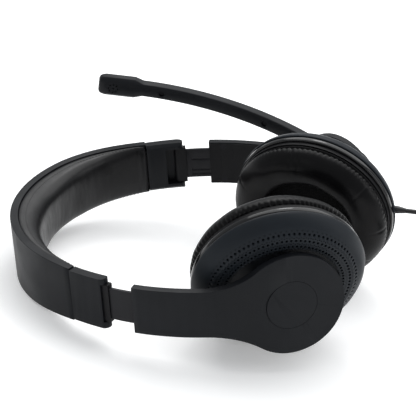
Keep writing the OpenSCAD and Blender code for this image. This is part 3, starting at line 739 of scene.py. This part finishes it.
def make_boom():
    stations = [(x, BOOM_W, BOOM_T, 0.55) for x in (0, 8, BOOM_ROOT)]
    stations += [(x, BOOM_W, BOOM_T, 0.55) for x in np.arange(24, BOOM_L - 6, 4)]
    stations += [(BOOM_L - 4.4, BOOM_W, BOOM_T, 0.6), (BOOM_L - 3.8, BOOM_W + 0.3, BOOM_T + 0.2, 0.7),
                 (BOOM_L + 0.1, MIC_W - 0.3, MIC_T - 0.2, 1.9), (BOOM_L + 0.7, MIC_W, MIC_T, 2.0),
                 (BOOM_L + 9, MIC_W, MIC_T, 2.0), (BOOM_L + 16.2, MIC_W, MIC_T, 2.0),
                 (BOOM_L + 18.2, MIC_W - 0.9, MIC_T - 0.5, 1.9),
                 (BOOM_L + 19.4, MIC_W - 2.6, MIC_T - 1.6, 1.4),
                 (BOOM_L + MIC_L, MIC_W - 5.0, MIC_T - 3.4, 0.9)]
    points = []
    for length, width, thick, chamfer in stations:
        at, _, out = boom_line(length)
        for y, z in section(width, thick, chamfer):
            points.append(at + Vector((0, y, 0)) + out * z)
    count = len(section(BOOM_W, BOOM_T, 0.55))
    faces = grid_faces(len(stations), count, close_columns=True)
    faces += [tuple(range(count)), tuple((len(stations) - 1) * count + k for k in reversed(range(count)))]
    bar = mesh_piece("boom_bar", points, faces, BOOM)
    bar.data.set_sharp_from_angle(angle=math.radians(24))
    cut_holes(bar)
    place(bar, "boom", "soft_plastic", "boom_outer", "boom_inner")
    profile = [(0.3, HUB_LOW), (10.9, HUB_LOW), (11.8, 0.6), (12.2, 1.3), (HUB_R, 2.2), (HUB_R, 11.35),
               (12.05, 11.45), (12.05, 11.55), (HUB_R, 11.65), (HUB_R, 12.9), (12.0, 13.9), (11.3, 14.4),
               (10.2, HUB_HIGH), (0.3, HUB_HIGH)]
    hub = lathe("boom_hub", profile, BOOM, 128)
    hub.data.set_sharp_from_angle(angle=math.radians(50))
    place(hub, "boom", "soft_plastic")


def cut_holes(bar):
    """Screw wells and the microphone's ring of sound holes, on the boom's inner face."""
    wells = [(length, 0, 0, 1.8, -BOOM_T / 2, 1.0) for length in BOOM_SCREWS]
    head = BOOM_L + MIC_AT
    wells += [(head, 0, 0, 0.42, -MIC_T / 2, 0.9)]
    wells += [(head, 2.5 * math.cos(a), 2.5 * math.sin(a), 0.42, -MIC_T / 2, 0.9)
              for a in [math.radians(45 * k) for k in range(8)]]
    points, faces = [], []
    for length, along_bar, side_bar, radius, level, deep in wells:
        at, forward, out = boom_line(length)
        at = at + forward * along_bar + Vector((0, side_bar, 0))
        ring, start = 20, len(points)
        for z in (level - 1, level + deep):
            for k in range(ring):
                t = 2 * math.pi * k / ring
                beside = Vector((0, radius * math.sin(t), 0))
                points.append(at + forward * radius * math.cos(t) + beside + out * z)
        faces += [tuple(start + i for i in f) for f in grid_faces(2, ring, close_columns=True)]
        faces += [tuple(start + k for k in reversed(range(ring))),
                  tuple(start + ring + k for k in range(ring))]
    cutter = mesh_piece("cutter", points, faces, BOOM, smooth=False)
    recalculate(cutter)
    recalculate(bar)
    cut = bar.modifiers.new("holes", "BOOLEAN")
    cut.object = cutter
    cut.solver = "EXACT"
    apply_modifiers(bar)
    bpy.data.objects.remove(cutter)


make_boom()

# ---- plug --------------------------------------------------------------------------------------

PLUG_AT = Vector((187.33, -19.57, 3.6))
GRIP_L, PIN_L, PIN_R = 22, 14, 1.75
RING_ENDS, RING_L = (5.4, 7.5, 9.6), 0.3


def make_plug():
    """A 3.5 mm plug: a grip with a ribbed strain relief, and a pin with three insulating rings."""
    turn = Matrix.Translation(PLUG_AT * MM) @ Matrix.Rotation(math.radians(90), 4, "X")
    pin_turn = turn @ Matrix.Translation((0, 0, GRIP_L * MM))
    grip = [(1.25, 0), (1.5, 0.05)]
    for k in range(5):
        r = 1.62 + 0.13 * k
        grip += [(r - inset, z + k * 1.15) for inset, z in ((0, 0.3), (0, 0.8), (0.25, 0.95), (0.25, 1.25))]
    grip += [(2.2, 6), (3.2, 6.05), (3.55, 6.5), (3.6, 7.2), (3.6, 20.3), (3.4, 20.85), (3.0, 21.1),
             (3.0, 21.9), (2.8, GRIP_L), (0.3, GRIP_L)]
    handle = lathe("plug_handle", grip, turn, 64)
    handle.data.set_sharp_from_angle(angle=math.radians(40))
    place(handle, "cup_left", "cord_rubber", "plug_grip")
    parts = []
    low = 0.0
    for number, high in enumerate(RING_ENDS):
        edge = high - RING_L
        contact = [(0.3, low), (1.7, low), (PIN_R, low + 0.08), (PIN_R, edge - 0.08),
                   (1.7, edge), (0.3, edge)]
        ring = [(0.3, edge), (1.72, edge), (1.72, high), (0.3, high)]
        parts.append(lathe(f"plug_contact_{number + 1}", contact, pin_turn, 48))
        parts.append(lathe(f"plug_ring_{number + 1}", ring, pin_turn, 48))
        low = high
    tip = [(0.3, low), (1.7, low), (PIN_R, low + 0.1), (PIN_R, 11), (1.2, 11.6), (1.2, 11.9), (1.6, 12.5),
           (1.6, 12.8), (0.9, 13.8), (0.5, PIN_L), (0.05, PIN_L)]
    parts.append(lathe("plug_tip", tip, pin_turn, 48))
    for part in parts:
        part.data.set_sharp_from_angle(angle=math.radians(40))
        place(part, "cup_left", "cord_rubber" if "ring" in part.name else "plug_contact", "plug_pin")
    return [handle, *parts]


plug_pieces = make_plug()

# ---- cord --------------------------------------------------------------------------------------

CORD_D = 2.4
CORD_ROUTE = [(97.83, 24.93, 49.65), (103.43, 24.23, 50.45), (109.03, 23.63, 50.65),
              (114.43, 23.33, 49.75), (119.53, 23.33, 47.7), (123.93, 23.53, 44.2),
              (127.63, 24.03, 39.7), (130.63, 24.83, 34.6), (133.13, 25.83, 29.4),
              (135.43, 27.03, 24.2), (137.83, 28.33, 19.2), (140.63, 29.63, 14.5),
              (144.13, 31.03, 10.4), (148.33, 32.33, 7), (152.93, 33.33, 4.4),
              (157.53, 33.83, 2.9)]
TAIL_ROUTE = [(187.33, 3.83, 8), (187.33, -1.47, 7), (187.33, -7.47, 5.3),
              (187.33, -13.47, 4.1), (187.33, -19.47, 3.6)]
COIL_AT = Vector((168.03, 14.73, 2.0))
COIL_R = 14.5
COLUMNS, LAYERS = 5, 4
COIL_START, COIL_TURN = 90, 18.25
COIL_STEPS = 30


def coil_points():
    """Turns wound inwards and outwards, layer on layer, from the outer bottom turn to the outer top one."""
    rise = (COIL_TURN - LAYERS * (COLUMNS - 1)) / (LAYERS - 1)
    outer = COIL_R + CORD_D * (COLUMNS - 1) / 2
    inner = outer - CORD_D * (COLUMNS - 1)
    turns, radii, heights = [0.0], [outer], [0.0]
    for layer in range(LAYERS):
        turns.append(turns[-1] + COLUMNS - 1)
        radii.append(inner if layer % 2 == 0 else outer)
        heights.append(layer * CORD_D)
        if layer < LAYERS - 1:
            turns.append(turns[-1] + rise)
            radii.append(radii[-1])
            heights.append((layer + 1) * CORD_D)
    out = []
    for t in np.linspace(0, COIL_TURN, int(COIL_TURN * COIL_STEPS)):
        a = math.radians(COIL_START - 360 * t)
        r = np.interp(t, turns, radii)
        out.append(COIL_AT + Vector((r * math.cos(a), r * math.sin(a), np.interp(t, turns, heights))))
    return out


def make_cord():
    into_coil = coil_points()
    line = (catmull([*CORD_ROUTE, (163.03, 34.03, 2.2), into_coil[0]], 4)[:-1] + into_coil
            + catmull([into_coil[-1], (187.33, 9.53, 8.9), *TAIL_ROUTE], 4)[1:])
    curve = bpy.data.curves.new("cord", "CURVE")
    curve.dimensions = "3D"
    curve.bevel_depth = CORD_D / 2 * MM
    curve.bevel_resolution = 4
    curve.use_fill_caps = True
    spline = curve.splines.new("POLY")
    spline.points.add(len(line) - 1)
    for point, co in zip(spline.points, line):
        point.co = (*(co * MM), 1)
    cord = place(add_object("cord", curve), "cup_left", "cord_rubber", "cord_run", "cord_tail", "cord_coil")


make_cord()

# ---- stage and light ---------------------------------------------------------------------------

LOOK_AT = Vector((0, 0, 0.03))


def area_light(name, at, size, power):
    data = bpy.data.lights.new(name, "AREA")
    data.shape = "RECTANGLE"
    data.size, data.size_y = size
    data.energy = power
    lamp = bpy.data.objects.new(name, data)
    lamp.location = at
    lamp.rotation_euler = (Vector(at) - LOOK_AT).to_track_quat("Z", "Y").to_euler()
    scene.collection.objects.link(lamp)


area_light("top", (0.05, 0.6, 1.15), (2.2, 1.4), 20)
area_light("sparkle", (-0.1, 0.55, 0.9), (0.22, 0.16), 0.9)
area_light("front", (-0.6, -1.0, 0.8), (0.6, 0.5), 0.35)
area_light("side", (1.1, 0.1, 0.5), (0.4, 0.6), 1.7)

world = bpy.data.worlds.new("world")
world.use_nodes = True
world.node_tree.nodes["Background"].inputs["Color"].default_value = (0.95, 0.975, 1, 1)
world.node_tree.nodes["Background"].inputs["Strength"].default_value = 0.55
scene.world = world
scene.view_settings.view_transform = "Standard"

floor_mesh = bpy.data.meshes.new("floor")
floor_mesh.from_pydata([(-6, -6, 0), (6, -6, 0), (6, 6, 0), (-6, 6, 0)], [], [(0, 1, 2, 3)])
floor = add_object("floor", floor_mesh)
paper = Shader("paper", (0.93, 0.93, 0.93), 0.9)
paper.vary(paper.grain(40, 2), 0.995, 1.005)
# a light table, as under a product photo: the shadow stays soft and pale
paper.shader.inputs["Emission Color"].default_value = (1, 1, 1, 1)
paper.shader.inputs["Emission Strength"].default_value = 0.26
floor_mesh.materials.append(paper.material)
